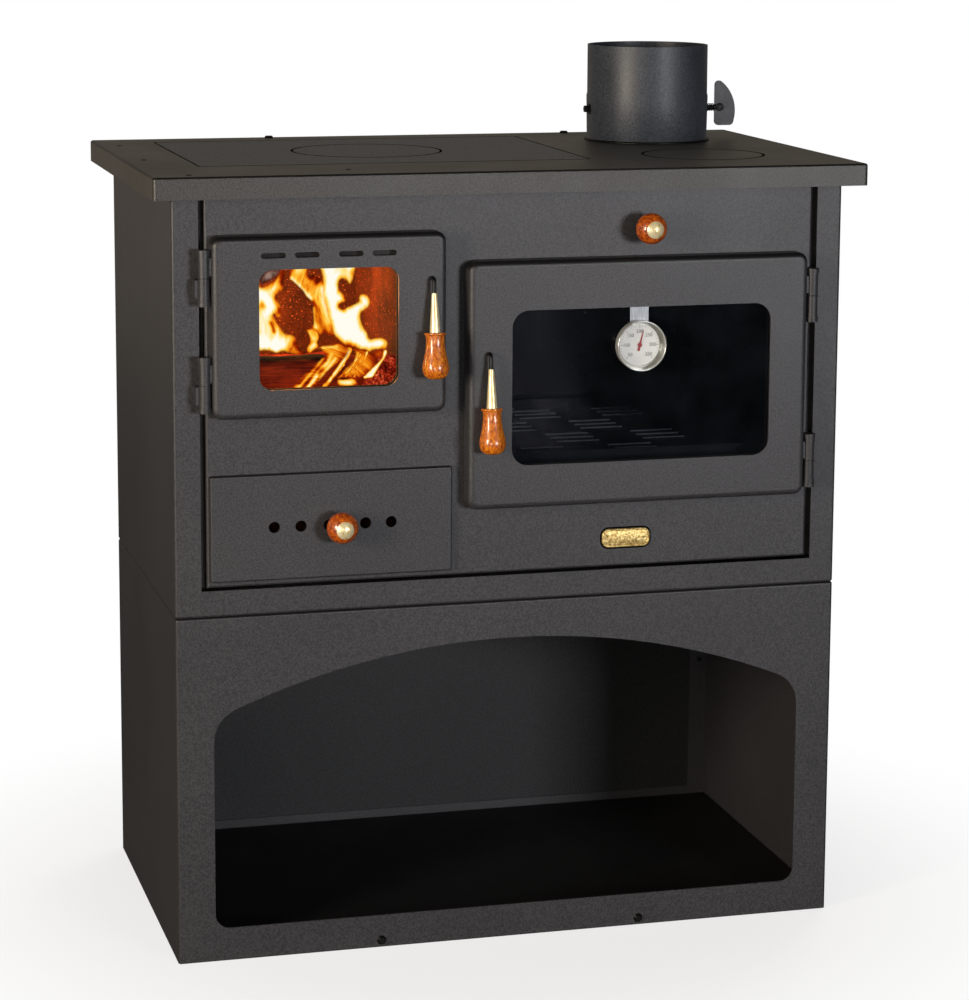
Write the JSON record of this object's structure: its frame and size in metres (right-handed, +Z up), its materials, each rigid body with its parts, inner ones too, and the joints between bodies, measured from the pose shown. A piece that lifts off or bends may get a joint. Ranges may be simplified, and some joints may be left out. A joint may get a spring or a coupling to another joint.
{
  "type": "wood cookstove",
  "caption": "Wood cookstove with glazed firebox and oven doors, ash drawer, lift-out hotplates, flue collar with damper, pull-out bypass and an open fuel plinth.",
  "frame": {"origin": "on the floor, at the middle of the plinth's footprint", "axes": "+Z up; the doors face -Y; +X to the right of someone facing the doors"},
  "size_m": [0.72, 0.458, 0.883],
  "materials": {
    "stove_paint": "satin anthracite high-temperature paint with a fine grain",
    "hob_paint": "the same paint, browner where the hob has been hot",
    "cast_iron": "blacked, machine-ground top",
    "inner_sheet": "sooty dark sheet",
    "black_steel": "black oxide",
    "grey_steel": "grey high-temperature paint",
    "firebrick": "fired vermiculite brick, sooty",
    "oven_enamel": "black vitreous enamel",
    "brass": "polished",
    "rope_seal": "woven glass-fibre rope",
    "ceramic_glass": "polished heat-proof glass",
    "lacquered_wood": "turned hardwood under glossy amber lacquer",
    "aluminium_strip": "brushed strip",
    "polished_steel": "polished",
    "dial_white": "white printed face",
    "lens_glass": "clear",
    "pointer_red": "red enamel"
  },
  "bodies": {
    "stove": {"top_frame": "hob_paint", "plate_ledges": "inner_sheet", "flue_collar": "stove_paint", "outer_casing": "stove_paint", "rear_panel": "stove_paint", "casing_screws": "black_steel", "front_panel": "stove_paint", "body_shell": "inner_sheet", "firebox_divider": "inner_sheet", "firebox_floor": "inner_sheet", "fire_grate": "cast_iron", "firebricks": "firebrick", "ash_runners": "inner_sheet", "oven_box": "oven_enamel", "oven_tray": "oven_enamel", "flue_partition": "inner_sheet", "badge_plate": "brass", "plinth_casing": "stove_paint", "plinth_rear": "stove_paint", "plinth_floor": "stove_paint", "hinge_seats": "stove_paint", "hinge_pins": "black_steel"},
    "firebox_door": {"fire_door_shell": "stove_paint", "fire_glass": "ceramic_glass", "fire_door_liner": "stove_paint", "fire_gasket": "rope_seal", "fire_hinge_knuckles": "stove_paint"},
    "oven_door": {"oven_door_shell": "stove_paint", "oven_glass": "ceramic_glass", "oven_door_liner": "stove_paint", "oven_gasket": "rope_seal", "oven_hinge_knuckles": "stove_paint", "thermometer_bracket": "aluminium_strip", "thermometer_cup": "polished_steel", "thermometer_dial": "dial_white", "thermometer_lens": "lens_glass"},
    "firebox_latch": {"fire_latch_rod": "black_steel", "fire_latch_ferrule": "brass", "fire_latch_grip": "lacquered_wood"},
    "oven_latch": {"oven_latch_rod": "black_steel", "oven_latch_ferrule": "brass", "oven_latch_grip": "lacquered_wood"},
    "dial_pointer": {"thermometer_pointer": "pointer_red"},
    "ash_drawer": {"drawer_front": "stove_paint", "ash_tray": "inner_sheet", "drawer_knob": "lacquered_wood", "drawer_knob_cap": "brass", "drawer_knob_stem": "brass"},
    "bypass_damper": {"bypass_rod": "black_steel", "bypass_knob": "lacquered_wood", "bypass_knob_cap": "brass", "bypass_plate": "inner_sheet"},
    "flue_damper": {"damper_shaft": "black_steel", "damper_blade": "inner_sheet", "damper_handle": "grey_steel", "damper_spring": "black_steel", "damper_nut": "black_steel"},
    "hotplate": {"hotplate": "cast_iron"},
    "hotplate_lid": {"hotplate_lid": "cast_iron"},
    "round_cover": {"round_cover": "hob_paint"}
  },
  "joints": [
    {"name": "firebox_door_hinge", "type": "hinge", "parent": "stove", "child": "firebox_door", "pos_m": [-0.3113, -0.204, 0.63], "axis": [0, 0, -1], "range_deg": [0, 110]},
    {"name": "oven_door_hinge", "type": "hinge", "parent": "stove", "child": "oven_door", "pos_m": [0.3053, -0.204, 0.57], "axis": [0, 0, 1], "range_deg": [0, 110]},
    {"name": "firebox_latch_turn", "type": "hinge", "parent": "firebox_door", "child": "firebox_latch", "pos_m": [-0.0895, -0.2, 0.678], "axis": [0, 1, 0], "range_deg": [0, 90]},
    {"name": "oven_latch_turn", "type": "hinge", "parent": "oven_door", "child": "oven_latch", "pos_m": [-0.0322, -0.2, 0.6016], "axis": [0, -1, 0], "range_deg": [0, 90]},
    {"name": "pointer_turn", "type": "hinge", "parent": "oven_door", "child": "dial_pointer", "pos_m": [0.122, -0.211, 0.605], "axis": [0, 1, 0], "range_deg": [-149, 121], "stiffness_Nm_per_rad": 0.001},
    {"name": "ash_drawer_slide", "type": "slide", "parent": "stove", "child": "ash_drawer", "axis": [0, -1, 0], "range_m": [0, 0.25]},
    {"name": "bypass_pull", "type": "slide", "parent": "stove", "child": "bypass_damper", "axis": [0, -1, 0], "range_m": [0, 0.06]},
    {"name": "flue_damper_turn", "type": "hinge", "parent": "stove", "child": "flue_damper", "pos_m": [0.231, 0.109, 0.814], "axis": [1, 0, 0], "range_deg": [0, 90]},
    {"name": "hotplate_lift", "type": "slide", "parent": "stove", "child": "hotplate", "axis": [0, 0, 1], "range_m": [0, 0.08]},
    {"name": "lid_lift", "type": "slide", "parent": "hotplate", "child": "hotplate_lid", "axis": [0, 0, 1], "range_m": [0, 0.06]},
    {"name": "round_cover_lift", "type": "slide", "parent": "stove", "child": "round_cover", "axis": [0, 0, 1], "range_m": [0, 0.06]}
  ]
}
